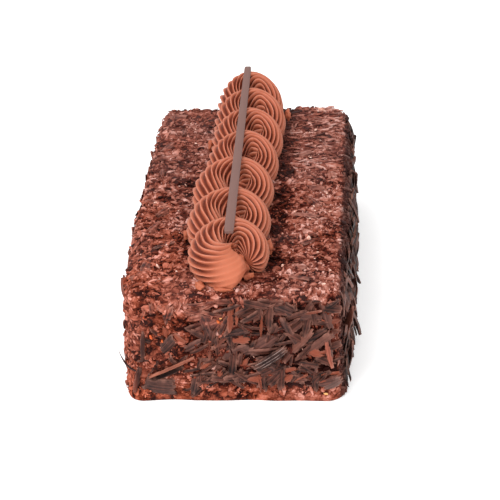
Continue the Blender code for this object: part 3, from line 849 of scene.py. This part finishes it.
def lay_top(shavings, draw, fray):
    count, lengths, widths, lifts = TOP_SHARDS
    for side in (-1, 1):
        for index in range(count):
            length = draw.uniform(*lengths)
            room = LOAF_WIDTH / 2 - ROW_HALF_WIDTH - length / 2 - EDGE_LINE
            away = ROW_HALF_WIDTH + length / 2 + ROW_CLEARANCE + draw.uniform(0, max(1, room))
            x = ROW_MIDDLE_X + side * away
            x = max(-LOAF_WIDTH / 2 + TOP_MARGIN, min(LOAF_WIDTH / 2 - TOP_MARGIN, x))
            share = (index + 0.5 + draw.uniform(-CELL_SPREAD, CELL_SPREAD)) / count - 0.5
            start = Vector((x, share * (LOAF_LENGTH - 2 * EDGE_STRIP), LOAF_HEIGHT + FAR_OFF))
            lift = (math.radians(draw.uniform(*TOP_TIPS)), tipped(draw, lifts))
            shavings.lay(start, Vector((0, 0, 1)), Vector((1, 0, 0)), draw.uniform(0, math.pi), lift, length,
                         draw.uniform(*widths), draw.uniform(0, 0.5), draw, fray)


plain_points, plain_faces = wrapped_block(3.0)
loaf_surface = BVHTree.FromPolygons([point * MM for point in plain_points], plain_faces)
draw = random.Random(SHARD_SEED)
fray = random.Random(SHARD_SEED + 1)
broad = Shavings(loaf_surface)
lay_front(broad, draw, fray)
lay_sides(broad, SIDE_SHARDS, draw, fray)
lay_top(broad, draw, fray)
broad_shavings = broad.finish("broad_shavings", shaving_material(
    "broad_shavings", srgb(26, 9, 7), srgb(100, 60, 51), srgb(112, 64, 50), gloss=0.2))
stands_for(broad_shavings, "cake")


# Side shavings. More of the same planed chocolate, packed on end against the long sides and the far
# end, thickest on the right, where painted shade makes them darkest. They fill the spaces between the broad
# ones.

# For each group: its dark, light and warm colours, its gloss, how far light falls on its near corner, and
# its table, as that of the broad shavings.
FILLINGS = (
    # The right ones are painted darker than the chocolate of the others, as shade on the side away from the
    # lamps, with painted light on their near corner.
    ("right_shavings", ((14, 6, 5), (44, 24, 21), (62, 32, 25)), 0.12, 0.8, {
        "right": (32, 6, (8, 17), (2.0, 5.5), (90, 24), (6, 26))}),
    ("left_and_far_shavings", ((44, 18, 13), (92, 50, 41), (130, 66, 46)), 0.2, 0.0, {
        "left": (16, 4, (6, 12), (1.8, 4.0), (30, 70), (4, 14)),
        "back": (10, 4, (6, 12), (1.8, 4.0), (40, 70), (4, 14))}),
    ("front_shavings", ((20, 5, 3), (94, 52, 42), (140, 68, 46)), 0.15, 0.0, {
        "front dark": (17, 9, (5, 15), (1.4, 4.4), (30, 70), (6, 26)),
        "front light": (6, 4, (4, 9), (1.2, 3.0), (30, 80), (4, 20))}),
)
FRAY_SEED = 78

for name, colours, gloss, near_light, table in FILLINGS:
    packed = Shavings(loaf_surface)
    lay_sides(packed, table, random.Random(len(name)), random.Random(FRAY_SEED))
    shades = [srgb(*colour) for colour in colours]
    filling = packed.finish(name, shaving_material(name, *shades, gloss=gloss, near_light=near_light))
    stands_for(filling, "cake")


# Single shavings and bits. On the near face lie a ridged curl, a long thin splinter, an orange strip, a
# grey plate and dark slivers, and a thin curl stands out at the left. Pale and orange bits of chocolate
# lie here and there on the coat, the larger ones at the places that the photograph shows.

# For each: its place across and up, how far it stands off, its turn, length, width and bend, its dark and
# light colours, its roughness and its gloss.
SINGLE_SHAVINGS = (
    ("ridged_curl", (18.0, 25.0, 1.2), 36, 18, 5.0, 1.0, (16, 6, 5), (58, 32, 27), 0.45, 0.15),
    ("long_splinter", (-28.8, 20.2, 1.2), 27, 25, 1.6, 0.4, (88, 42, 30), (150, 84, 62), 0.5, 0.25),
    ("orange_strip", (45.2, 26.7, 1.2), -80, 15, 2.4, 0.5, (120, 58, 42), (168, 92, 72), 0.5, 0.25),
    ("grey_plate", (46.8, 11.0, 1.2), 34, 10, 4.6, 0.5, (70, 44, 38), (104, 72, 64), 0.45, 0.3),
    ("dark_sliver", (-31.0, 16.6, 0.9), 26, 16, 3.2, 0.2, (12, 5, 4), (38, 20, 17), 0.6, 0.05),
    ("upright_sliver", (-42.4, 31.0, 0.9), 86, 16, 2.2, 0.5, (16, 6, 5), (56, 30, 26), 0.5, 0.1),
    ("corner_sliver", (-46.2, 12.0, 0.9), 76, 15, 2.6, 0.5, (16, 6, 5), (60, 34, 30), 0.5, 0.1),
)
LEFT_CURL = ((-46.4, -103.2, 17.6), (-52.0, -101.0, 17.4), (-55.2, -95.6, 24.8))
LEFT_CURL_WIDTHS = (1.2, 2.3, 0.5)
BIT_PLACES = (
    (43.1, -92, 2.4), (44.2, -21.6, 2.2), (34.7, -48.8, 4.6), (23.2, -74.6, 2.4), (45.6, -79.2, 2.0),
    (36.3, 95.4, 5.0), (42.2, -2.7, 2.0), (-36.3, -75.5, 3.0), (-37.4, -46.6, 2.2),
)
FACE_BITS = (
    ("orange_bits", (188, 72, 34), (230, 122, 66),
     ((-6.2, 44.3, 3.2), (-38.2, 36.0, 3.0), (-33.0, 33.5, 2.4), (-41.0, 47.0, 1.8))),
    ("yellow_bits", (206, 130, 72), (246, 200, 130), ((43.4, 5.2, 2.6), (-5.0, 46.2, 1.8))),
)
SCATTERED_BITS = 36
SCATTERED_SIZES = (0.8, 2.0)
SCATTERED_ACROSS = (22, 44)
SCATTERED_ALONG = 96
SCATTERED_ON_FACE = ((-45, 45), (4, 52))
BIT_SEED = 12
CURL_STEPS = 10
CURL_CORNERS = ((0, -0.5, 0.3), (0, 0.5, 0.3), (0.3, 0.1, -0.4))
# How close together the painted highlight stripes lie on the shavings that have them.
HIGHLIGHT_STRIPES = {"ridged_curl": 4.6}


class Bits:
    """Gathers small broken chips into one mesh."""

    def __init__(self):
        self.points = []
        self.faces = []

    def lay(self, place, size, draw):
        base = len(self.points)
        shape, sides = crumb_shape(draw, (1.0, 0.6, 0.45))
        turn = Matrix.Rotation(draw.uniform(0, math.pi), 3,
                               Vector((draw.random(), draw.random(), 1)).normalized())
        self.points += [Vector(place) + turn @ point * size for point in shape]
        self.faces += [[base + corner for corner in side] for side in sides]

    def finish(self, name, dark, light):
        stands_for(mesh_object(name, self.points, self.faces, bit_material(name, dark, light), smooth=False),
                   "cake")


def bit_material(name, dark, light):
    material, nodes = new_material(name)
    grain = nodes.noise(nodes.place(), 1.2, 3.0)
    colour = nodes.mix(grain.band(0.35, 0.65), srgb(*dark), srgb(*light))
    nodes.surface(colour, 0.55, grain, 0.15, {"Specular IOR Level": 0.3})
    return material


def on_near_face(x, z, raised):
    """A point a little in front of the near face."""
    start = Vector((x, -LOAF_LENGTH / 2 - FAR_OFF, z))
    hit, _, _, _ = loaf_surface.ray_cast(start * MM, -NEAR_FACE)
    return hit / MM + NEAR_FACE * raised


def loose_bits():
    draw = random.Random(BIT_SEED)
    pale = Bits()
    for x, y, size in BIT_PLACES:
        pale.lay((x, y, LOAF_HEIGHT + 1.0), size, draw)
    for _ in range(SCATTERED_BITS):
        x = ROW_MIDDLE_X + draw.choice((-1, 1)) * draw.uniform(*SCATTERED_ACROSS)
        start = Vector((x, draw.uniform(-SCATTERED_ALONG, SCATTERED_ALONG), LOAF_HEIGHT + FAR_OFF))
        hit, _, _, _ = loaf_surface.ray_cast(start * MM, Vector((0, 0, -1)))
        if hit:
            pale.lay(hit / MM + Vector((0, 0, 1.2)), draw.uniform(*SCATTERED_SIZES), draw)
    for _ in range(SCATTERED_BITS // 3):
        x, z = (draw.uniform(*room) for room in SCATTERED_ON_FACE)
        pale.lay(on_near_face(x, z, 1.0), draw.uniform(*SCATTERED_SIZES), draw)
    pale.finish("pale_bits", (196, 130, 108), (236, 200, 184))
    for name, dark, light, places in FACE_BITS:
        bits = Bits()
        for x, z, size in places:
            bits.lay(on_near_face(x, z, 1.4), size, draw)
        bits.finish(name, dark, light)


def left_curl():
    """A thin curl, three-sided in section, from the left side of the near end."""
    points = []
    a, b, c = (Vector(place) for place in LEFT_CURL)
    for step in range(CURL_STEPS + 1):
        t = step / CURL_STEPS
        middle = a * (1 - t) ** 2 + b * 2 * t * (1 - t) + c * t ** 2
        width = np.interp(t, (0, 0.5, 1), LEFT_CURL_WIDTHS)
        points += [middle + Vector(corner) * width for corner in CURL_CORNERS]
    faces = tube_faces(CURL_STEPS + 1, len(CURL_CORNERS))
    item = mesh_object("left_curl", points, faces, bit_material("left_curl", (30, 14, 12), (62, 38, 34)))
    stands_for(item, "cake")


for name, place, turn, length, width, bend, dark, light, roughness, gloss in SINGLE_SHAVINGS:
    single = Shavings(loaf_surface)
    run = Matrix.Rotation(math.radians(turn), 3, NEAR_FACE) @ Vector((1, 0, 0))
    single.slab(on_near_face(*place), run, NEAR_FACE, length, width, bend,
                random.Random(3), random.Random(len(name)))
    shaving = single.finish(name, shaving_material(
        name, srgb(*dark), srgb(*light), srgb(*light), roughness, gloss, highlight_stripes=HIGHLIGHT_STRIPES.get(name, 0.0)))
    stands_for(shaving, "cake")
loose_bits()
left_curl()


# Piped cream. The real row is one rope of whipped chocolate cream from a star nozzle, turned in seven
# overlapping loops from the far end, with its end wiped off at the near side. Geometry Nodes draw each
# loop from its place and size, and the loops are joined.

# For each loop: its middle across, where its crest lies along the loaf, its half width and its height.
LOOPS = (
    (-2.4, -65.0, 19.4, 21.0),
    (-4.3, -36.0, 20.5, 21.5),
    (-4.4, -4.0, 20.5, 22.0),
    (-1.6, 24.0, 18.6, 23.0),
    (-0.8, 50.0, 18.8, 23.5),
    (-0.8, 72.5, 19.2, 24.5),
    (-1.8, 90.5, 18.0, 26.0),
)
ROPE_SHARE = 0.51
NEAR_ARC_HEIGHT = 12.0
LAST_LOOP_ADVANCE = 8.0
TAIL_EASE = 0.5
LOOP_EASE = 1.2
SECOND_EASE = 0.6
CREAM_GAP = 0.3
STAR_TEETH = 18
WIDEST_AT = 0.38
RIDGE_TWIST = 0.65
GROOVE_DEPTH = 2.2
PRESSED_GROOVE = 0.4
RIDGE_SHARPNESS = 0.85
RIDGE_WANDER = 0.12
UNEVENNESS = 1.2
RING_POINTS = STAR_TEETH * 7
LOOP_RINGS = 64
TAIL_RINGS = 100
PRESSED_RINGS = 12
# For each blob of cream: its place, its size and its turn in degrees.
BLOBS = (
    (16.2, -61.0, 61.0, 1.8, 3.6, 3.4, 0), (19.0, 76.5, 65.0, 1.6, 2.8, 3.0, 0),
    (-25.0, -47.2, 59.6, 1.8, 2.4, 2.4, 0), (-20.6, 46.4, 61.5, 1.6, 2.4, 3.0, 0),
    (-14.6, -93.2, 59.0, 2.2, 2.8, 1.6, 20), (-4.0, -96.4, 58.8, 4.6, 1.5, 1.2, 0),
    (3.2, -78.0, 61.5, 2.8, 7.6, 5.6, 26), (8.0, -87.0, 60.5, 2.6, 1.4, 1.8, 20),
)
PINCH = 0.92
EASE_IN = 3.0
LOOP_SHOULDER = 0.75
TAIL_SHOULDER = 1.5
START_SHIFT = 0.6
LOOP_START = math.radians(-58)
LOOP_END = math.radians(240)
PRESSED_START = math.radians(215)
PRESSED_END = math.radians(318)
TAIL_START = math.radians(180)
TAIL_END = math.radians(349)
TAIL_FALL = 0.3
TAIL_SMOOTHING = 0.88
TAIL_SLACK = 0.9
TAIL_TWIST = 1.3
TAIL_SKEW = math.radians(42)
TAIL_WIDENING = 1.2
WIDENED_ALONG = (0.1, 0.5)
WIPED_ALONG = (0.28, 0.62)
TAIL_TIP_SHARE = 1 / 12
NEAR_START = math.radians(-38)
NEAR_START_SHIFT = 0.3
NEAR_TAPER = math.radians(15)
TAPER_TURN = math.radians(25)


def rope_tree():
    """One stretch of the rope as a tube. Each tooth of the nozzle draws a ridge, which wanders from the
    outer side over the top to the inner side, because the nozzle doesn't turn with the rope."""
    tree, nodes, value = new_tree("piped_rope", {
        "Float": ("Middle X", "Crest Y", "Half Width", "Crest Height", "Advance", "Start", "End", "Taper",
                  "Groove", "Tail", "Pressed"),
        "Int": ("Rings",), "Material": ("Surface",)})
    grid = nodes.add("GeometryNodeMeshGrid", {}, {
        "Size X": 1.0, "Size Y": 1.0, "Vertices X": value("Rings"), "Vertices Y": RING_POINTS + 1})
    map_parts = nodes.add("ShaderNodeSeparateXYZ", {}, {"Vector": grid.other("UV Map")})
    run, round_share = map_parts.other("X"), map_parts.other("Y")
    angle = round_share * (2 * math.pi)
    end_aim = angle * -1 + (TAIL_END + math.pi / 2) * RIDGE_TWIST + TAIL_TWIST - TAIL_SLACK
    cut_back = value("Tail") * TAIL_SKEW * (1 + end_aim.cos()) / 2
    turn = value("Start") + (value("End") - cut_back - value("Start")) * run
    wind, rise = turn.cos(), turn.sin()
    half_width, advance = value("Half Width"), value("Advance")
    radius = half_width * (1 - ROPE_SHARE)
    lap = (turn - math.pi / 2) / (2 * math.pi)
    lap_angle = lap * (2 * math.pi)
    ease = value("Tail") * (TAIL_EASE - LOOP_EASE) + LOOP_EASE
    second = (1 - value("Tail")) * SECOND_EASE
    wave, double_wave = lap_angle.sin(), (lap_angle * 2).sin()
    slope, double_slope = lap_angle.cos(), (lap_angle * 2).cos()
    eased = lap - (wave * ease - double_wave * second / 2) / (2 * math.pi)
    eased_speed = (1 - slope * ease + double_slope * second) / (2 * math.pi)
    eased_bend = (wave * ease - double_wave * second * 2) / (2 * math.pi)
    x = value("Middle X") + radius * wind
    y = value("Crest Y") - radius * (1 - rise) - advance * eased
    speed_x = radius * rise * -1
    speed_y = radius * wind - advance * eased_speed
    bend_x = radius * wind * -1
    bend_y = radius * rise * -1 - advance * eased_bend
    speed = (speed_x * speed_x + speed_y * speed_y) ** 0.5
    bend = (speed_x * bend_y - speed_y * bend_x) / speed ** 3
    drift = turn.math("ARCTAN2", rise * speed_y * -1 - wind * speed_x, wind * speed_y - rise * speed_x)
    heading = turn + math.pi / 2 + drift
    outer_x, outer_y = heading.sin(), heading.cos() * -1
    valley = angle.math("ABSOLUTE", (angle * (STAR_TEETH / 2)).sin()) ** RIDGE_SHARPNESS
    past_side = value("Tail") * turn.math("GREATER_THAN", turn, TAIL_START)
    tail = value("Tail") * ((turn - TAIL_START) / (TAIL_END - TAIL_START)).clamped()
    wiped = tail.band(*WIPED_ALONG)
    spread = nodes.add("ShaderNodeCombineXYZ", {}, {"X": turn * 2, "Y": angle * 3, "Z": value("Crest Y")})
    wobble = nodes.add("ShaderNodeTexNoise", {}, {"Vector": spread, "Scale": 1.0, "Detail": 3.0}) - 0.5
    aim = heading * RIDGE_TWIST - angle + tail * (tail * TAIL_TWIST - TAIL_SLACK) + wobble * RIDGE_WANDER
    groove = value("Groove") * (1 - wiped * TAIL_SMOOTHING) * valley * (1 + wobble * UNEVENNESS)
    far_share = ((1 + rise * (1 - past_side)) / 2) ** 0.7
    height = NEAR_ARC_HEIGHT * (1 - far_share) + value("Crest Height") * far_share
    height = height * (1 - tail ** 1.5 * TAIL_FALL)
    height = height * (1 - value("Pressed")) + NEAR_ARC_HEIGHT * value("Pressed")
    start_size = ((turn - value("Start")) / value("Taper")).clamped() ** 0.6
    loop_end_size = ((value("End") - turn) / TAPER_TURN).clamped() ** 0.6
    tail_end_size = ((1 - run) / TAIL_TIP_SHARE).clamped() ** 0.5
    size = start_size * (loop_end_size * (1 - value("Tail")) + tail_end_size * value("Tail"))
    reach_out = half_width * ROPE_SHARE
    tight = PINCH / bend.most(0.01)
    reach_in = (reach_out ** -EASE_IN + tight ** -EASE_IN) ** (-1 / EASE_IN)
    reach_in = reach_in * (1 + tail.band(*WIDENED_ALONG) * TAIL_WIDENING)
    outward = aim.cos()
    shoulder = LOOP_SHOULDER + value("Tail") * (TAIL_SHOULDER - LOOP_SHOULDER)
    inward = 1 - (1 + outward.least(0.0)) ** shoulder
    shift = reach_out * (START_SHIFT - value("Tail") * NEAR_START_SHIFT) * (1 - start_size)
    sideways = outward.most(0.0) * reach_out - inward * reach_in
    upward = aim.sin() * height * (1 - WIDEST_AT)
    reach = (sideways * sideways + upward * upward) ** 0.5
    trim = (1 - groove / reach.most(groove + 1)) * size
    level = (height * WIDEST_AT + upward * trim).most(CREAM_GAP)
    spot = nodes.add("ShaderNodeCombineXYZ", {}, {
        "X": (x + outer_x * (sideways * trim + shift)) * MM,
        "Y": (y + outer_y * (sideways * trim + shift)) * MM,
        "Z": (level + LOAF_HEIGHT) * MM})
    drawn = nodes.add("GeometryNodeSetPosition", {}, {"Geometry": grid, "Position": spot})
    # The crests get a painted highlight and the grooves painted shade in the cream's material.
    for name, told in (("crest", 1 - valley), ("wiped", wiped)):
        drawn = nodes.add("GeometryNodeStoreNamedAttribute", {"data_type": "FLOAT", "domain": "POINT"}, {
            "Geometry": drawn, "Name": name, "Value": told})
    outward_faces = nodes.add("GeometryNodeFlipFaces", {}, {"Mesh": drawn})
    closed = nodes.add("GeometryNodeMergeByDistance", {}, {
        "Geometry": outward_faces, "Distance": 0.001 * MM})
    joined = nodes.add("GeometryNodeRealizeInstances", {}, {"Geometry": closed})
    smooth = nodes.add("GeometryNodeSetShadeSmooth", {}, {"Geometry": joined})
    painted = nodes.add("GeometryNodeSetMaterial", {}, {"Geometry": smooth, "Material": value("Surface")})
    nodes.add("NodeGroupOutput", {}, {"Geometry": painted})
    return tree


def cream_material():
    """Whipped milk-chocolate cream: satin, with a painted highlight along the crests and painted shade in
    the grooves, a little paler where it was wiped, with the fine tears and bubbles that a nozzle leaves."""
    material, nodes = new_material("chocolate_cream")
    place = nodes.place()
    crest = nodes.attribute("crest")
    wiped = nodes.attribute("wiped")
    crest = crest * (1 - wiped * 0.75) + wiped * 0.42
    clouds = nodes.noise(place, 9, 2.0)
    pores = nodes.noise(place, 0.7, 3.0, 0.6)
    # Painted shade in the grooves and a painted highlight along the crests.
    colour = nodes.mix((crest.band(0.0, 0.6) * 0.85 + clouds * 0.15).clamped(),
                       srgb(84, 26, 11), srgb(178, 99, 72))
    colour = nodes.mix(crest.band(0.5, 1.0) * 0.5, colour, srgb(216, 144, 122))
    colour = nodes.mix(wiped * 0.55, colour, srgb(182, 103, 75))
    nodes.surface(colour, 0.45 + clouds * 0.15, pores, 0.1, {
        "Specular IOR Level": 0.14, "Subsurface Weight": 0.05, "Subsurface Scale": 0.002})
    return material


def join(name, items):
    """Joins finished pieces into the first one, which takes a new name."""
    with bpy.context.temp_override(active_object=items[0], selected_editable_objects=items):
        bpy.ops.object.join()
    items[0].name = name
    return items[0]


def blob(name, place, size, turn, material):
    """A small rough lump of cream that the nozzle left, with the attributes that the material reads."""
    turned = Matrix.Rotation(math.radians(turn), 3, "Z")
    points, faces = ball(3, 1)
    points = [Vector(place) + turned @ stretched(
        point * (1 + 0.5 * noise.noise(point * 1.6 + Vector(place))), size) for point in points]
    item = mesh_object(name, points, faces, material)
    store(item, crest=[0.5] * len(points), wiped=[0.2] * len(points))
    return item


def piped_cream():
    tree = rope_tree()
    material = cream_material()
    stretches = []
    for index, (middle_x, crest_y, half_width, height) in enumerate(LOOPS):
        values = {
            "Middle X": middle_x, "Crest Y": crest_y, "Half Width": half_width, "Crest Height": height,
            "Advance": crest_y - LOOPS[index - 1][1] if index else LAST_LOOP_ADVANCE,
            "Start": LOOP_START if index else NEAR_START, "End": LOOP_END if index else TAIL_END,
            "Taper": TAPER_TURN if index else NEAR_TAPER, "Rings": LOOP_RINGS if index else TAIL_RINGS,
            "Groove": GROOVE_DEPTH, "Tail": 0.0 if index else 1.0, "Pressed": 0.0, "Surface": material}
        stretches.append(run_tree(f"loop_{index}", bpy.data.meshes.new("loop"), tree, values))
        if index:
            low = dict(values, Start=PRESSED_START, End=PRESSED_END, Rings=PRESSED_RINGS,
                       Groove=PRESSED_GROOVE, Pressed=1.0)
            stretches.append(run_tree(f"pressed_{index}", bpy.data.meshes.new("pressed"), tree, low))
    for index, numbers in enumerate(BLOBS):
        stretches.append(blob(f"blob_{index}", numbers[:3], numbers[3:6], numbers[6], material))
    return join("piped_cream_row", stretches)


cream = piped_cream()
stands_for(cream, "piped_cream")


# Chocolate stick. The real one is a thin flat bar of tempered chocolate, laid along the crests of the
# cream while it is soft. It is a long bar with broken edges, matte, with faint lines along it.

STICK_NEAR_Y = -77.5
STICK_FAR_Y = 98.0
STICK_NEAR_X = -1.5
STICK_FAR_X = -3.4
STICK_WIDTH_NEAR = 4.6
STICK_WIDTH_FAR = 3.8
STICK_THICKNESS = 1.8
STICK_SINK = 1.4
STICK_EDGE = 0.25
STICK_STATIONS = 60
STICK_WAVER = 0.06
WAVERS = 40
# The eight points of its section: which side, whether above, and whether on the side or inset from it.
STICK_SECTION = ((-1, 0, 1), (-1, 0, 0), (1, 0, 0), (1, 0, 1), (1, 1, 1), (1, 1, 0), (-1, 1, 0), (-1, 1, 1))


def stick_material():
    material, nodes = new_material("tempered_chocolate")
    place = nodes.place()
    lines = nodes.noise(place, 0.6, 3.0, 0.6, (1.0, 0.03, 1.0))
    bloom = nodes.noise(place, 7, 3.0, 0.6, (1.0, 0.5, 1.0))
    colour = nodes.mix((lines * 0.5 + bloom * 0.5).clamped(), srgb(100, 70, 63), srgb(122, 88, 80))
    nodes.surface(colour, 0.5 + bloom * 0.15, lines, 0.08, {"Specular IOR Level": 0.4})
    return material


def chocolate_stick():
    near = Vector((STICK_NEAR_X, STICK_NEAR_Y, LOAF_HEIGHT + LOOPS[0][3] - STICK_SINK))
    far = Vector((STICK_FAR_X, STICK_FAR_Y, LOAF_HEIGHT + LOOPS[-1][3] - STICK_SINK))
    along = (far - near).normalized()
    across = along.cross(Vector((0, 0, 1))).normalized()
    up = across.cross(along)
    points = []
    for station in range(STICK_STATIONS + 1):
        share = station / STICK_STATIONS
        inset = STICK_EDGE if station in (0, STICK_STATIONS) else 0
        width = STICK_WIDTH_NEAR + (STICK_WIDTH_FAR - STICK_WIDTH_NEAR) * share
        half = width / 2 - inset - STICK_WAVER * (1 + noise.noise(Vector((0, share * WAVERS, 0))))
        middle = near + (far - near) * share
        for side, above, on_side in STICK_SECTION:
            flat = half - STICK_EDGE * (1 - on_side)
            low = inset + STICK_EDGE * on_side
            points.append(middle + across * side * flat + up * (STICK_THICKNESS - low if above else low))
    faces = tube_faces(STICK_STATIONS + 1, len(STICK_SECTION))
    item = mesh_object("tempered_stick", points, faces, stick_material())
    shape = bmesh.new()
    shape.from_mesh(item.data)
    bmesh.ops.recalc_face_normals(shape, faces=shape.faces)
    shape.to_mesh(item.data)
    shape.free()
    item.data.set_sharp_from_angle(angle=SHARP_FROM)
    return item


bar = chocolate_stick()
stands_for(bar, "chocolate_stick")


# Studio. A plain pale floor that glows a little, a soft lamp at the upper left and a weak one in front,
# in white surroundings, seen from the photograph's angle.

CAMERA_PLACE = (0.0714, -0.8289, 0.5017)
CAMERA_YAW = math.radians(4.811)
CAMERA_PITCH = math.radians(29.849)
CAMERA_ROLL = math.radians(-2.462)
CAMERA_LENS = 133.18
SENSOR_WIDTH = 36
LAMPS = (
    ("key", (-0.5, -0.6, 1.15), 12, 0.7),
    ("fill", (0.3, -1.0, 0.5), 2, 0.6),
)
FLOOR_SIZE = 6.0
FLOOR_GLOW = 0.25


def camera():
    forward = Vector((-math.sin(CAMERA_YAW) * math.cos(CAMERA_PITCH),
                      math.cos(CAMERA_YAW) * math.cos(CAMERA_PITCH), -math.sin(CAMERA_PITCH)))
    level = Vector((math.cos(CAMERA_YAW), math.sin(CAMERA_YAW), 0))
    right = level * math.cos(CAMERA_ROLL) + level.cross(forward) * math.sin(CAMERA_ROLL)
    up = right.cross(forward)
    item = bpy.data.objects.new("camera", bpy.data.cameras.new("camera"))
    bpy.context.scene.collection.objects.link(item)
    pose = Matrix((right, up, -forward)).transposed().to_4x4()
    pose.translation = Vector(CAMERA_PLACE)
    item.matrix_world = pose
    item.data.lens = CAMERA_LENS
    item.data.sensor_width = SENSOR_WIDTH
    bpy.context.scene.camera = item


def studio():
    for name, place, energy, size in LAMPS:
        light = bpy.data.lights.new(name, "AREA")
        light.energy = energy
        light.size = size
        lamp = bpy.data.objects.new(name, light)
        lamp.location = place
        lamp.rotation_euler = (-Vector(place)).to_track_quat("-Z", "Y").to_euler()
        bpy.context.scene.collection.objects.link(lamp)
    world = bpy.data.worlds.new("world")
    world.use_nodes = True
    sky = Nodes(world.node_tree)
    light = sky.add("ShaderNodeBackground", {}, {"Color": (1, 1, 1, 1), "Strength": 1.0})
    sky.add("ShaderNodeOutputWorld", {}, {"Surface": light})
    bpy.context.scene.world = world
    bpy.context.scene.view_settings.view_transform = "Standard"
    material, nodes = new_material("floor")
    nodes.surface(srgb(250, 250, 250), 0.9, constants={
        "Emission Color": (1, 1, 1, 1), "Emission Strength": FLOOR_GLOW})
    half = FLOOR_SIZE / 2 / MM
    floor = mesh_object("floor", [(-half, -half, 0), (half, -half, 0), (half, half, 0), (-half, half, 0)],
                        [(0, 1, 2, 3)], material)


camera()
studio()
